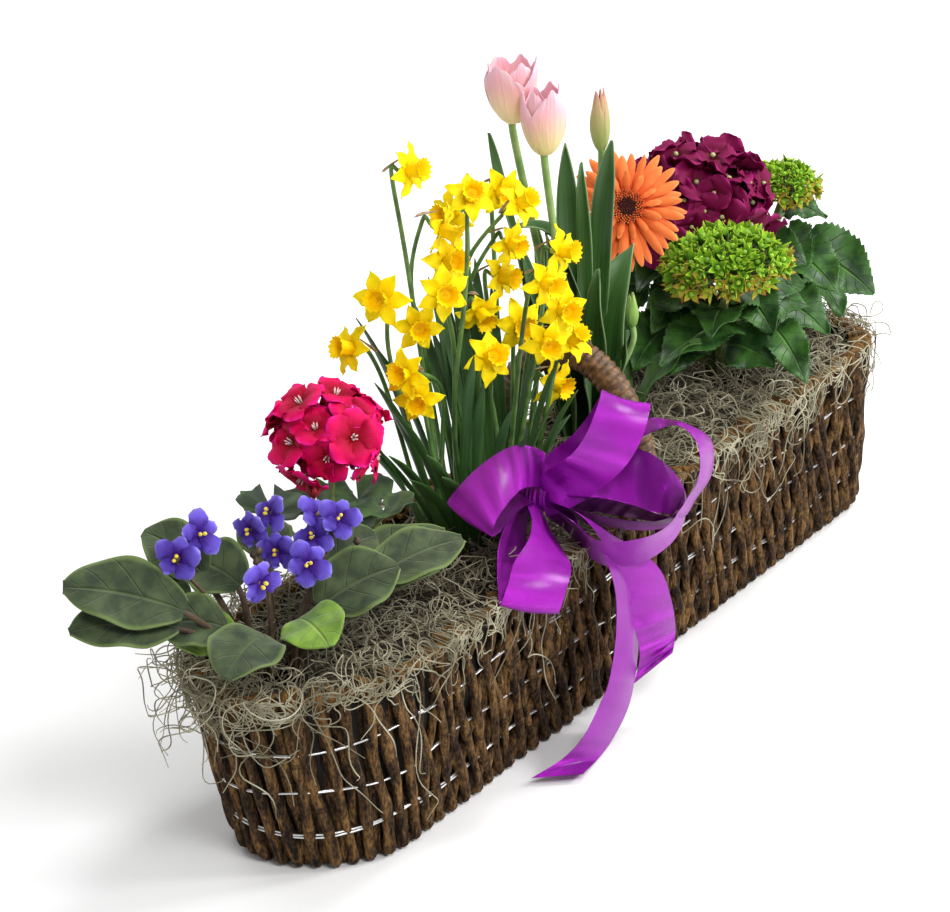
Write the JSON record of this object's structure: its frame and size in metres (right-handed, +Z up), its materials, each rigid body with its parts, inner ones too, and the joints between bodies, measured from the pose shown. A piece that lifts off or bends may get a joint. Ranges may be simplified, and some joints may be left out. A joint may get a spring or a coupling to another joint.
{
  "type": "flower basket arrangement",
  "caption": "Long vine trough basket with a hoop handle, planted with mixed potted spring flowers, dressed with moss and tied with a satin ribbon bow.",
  "frame": {"origin": "middle of the basket's underside, on the surface that it stands on", "axes": "+X along the basket towards the hydrangea end, -Y towards the side with the bow, +Z up"},
  "size_m": [0.9743, 0.2533, 0.4762],
  "materials": {
    "vine": "dark peeled vine, satin",
    "handle_vine": "golden brown bound vine, satin",
    "wire": "galvanised, bright",
    "board": "plain board, matt",
    "liner": "thin black film",
    "soil": "crumbly potting soil, matt",
    "moss": "dry curly moss, matt",
    "ribbon": "satin",
    "pick": "plain stick, matt",
    "violet_leaf": "fuzzy leaf",
    "violet_bloom": "soft petal",
    "leaf": "fresh leaf, satin",
    "dark_leaf": "dark serrated leaf, satin",
    "geranium_bloom": "soft petal",
    "daffodil_bloom": "soft petal",
    "tulip_bloom": "silky petal",
    "tulip_bud": "silky petal",
    "gerbera_bloom": "soft petal",
    "gerbera_disc": "velvety disc",
    "burgundy_bloom": "soft petal",
    "green_bloom": "soft petal"
  },
  "bodies": {
    "root": {"basket_wall": "vine", "wire_lower": "wire", "wire_middle": "wire", "wire_upper": "wire", "base_board": "board", "liner": "liner", "soil": "soil", "handle": "handle_vine", "moss": "moss", "bow_pick": "pick", "ribbon_bow": "ribbon", "violet_leaves": "violet_leaf", "violet_blooms_1": "violet_bloom", "violet_blooms_2": "violet_bloom", "violet_blooms_3": "violet_bloom", "geranium_leaves": "leaf", "geranium_head": "geranium_bloom", "daffodil_leaves": "leaf", "daffodil_bloom_01": "daffodil_bloom", "daffodil_bloom_02": "daffodil_bloom", "daffodil_bloom_03": "daffodil_bloom", "daffodil_bloom_04": "daffodil_bloom", "daffodil_bloom_05": "daffodil_bloom", "daffodil_bloom_06": "daffodil_bloom", "daffodil_bloom_07": "daffodil_bloom", "daffodil_bloom_08": "daffodil_bloom", "daffodil_bloom_09": "daffodil_bloom", "daffodil_bloom_10": "daffodil_bloom", "daffodil_bloom_11": "daffodil_bloom", "daffodil_bloom_12": "daffodil_bloom", "daffodil_bloom_13": "daffodil_bloom", "daffodil_bloom_14": "daffodil_bloom", "daffodil_bloom_15": "daffodil_bloom", "daffodil_bloom_16": "daffodil_bloom", "daffodil_bloom_17": "daffodil_bloom", "daffodil_bloom_18": "daffodil_bloom", "daffodil_bloom_19": "daffodil_bloom", "daffodil_bloom_20": "daffodil_bloom", "daffodil_bloom_21": "daffodil_bloom", "daffodil_bloom_22": "daffodil_bloom", "daffodil_bloom_23": "daffodil_bloom", "daffodil_bloom_24": "daffodil_bloom", "tulip_leaves": "leaf", "tulip_head_1": "tulip_bloom", "tulip_head_2": "tulip_bloom", "tulip_head_3": "tulip_bud", "tulip_head_4": "tulip_bud", "gerbera_leaves": "leaf", "gerbera_petals": "gerbera_bloom", "gerbera_disc": "gerbera_disc", "hydrangea_leaves": "dark_leaf", "hydrangea_head_burgundy": "burgundy_bloom", "hydrangea_head_front": "green_bloom", "hydrangea_head_back": "green_bloom"}
  },
  "joints": []
}
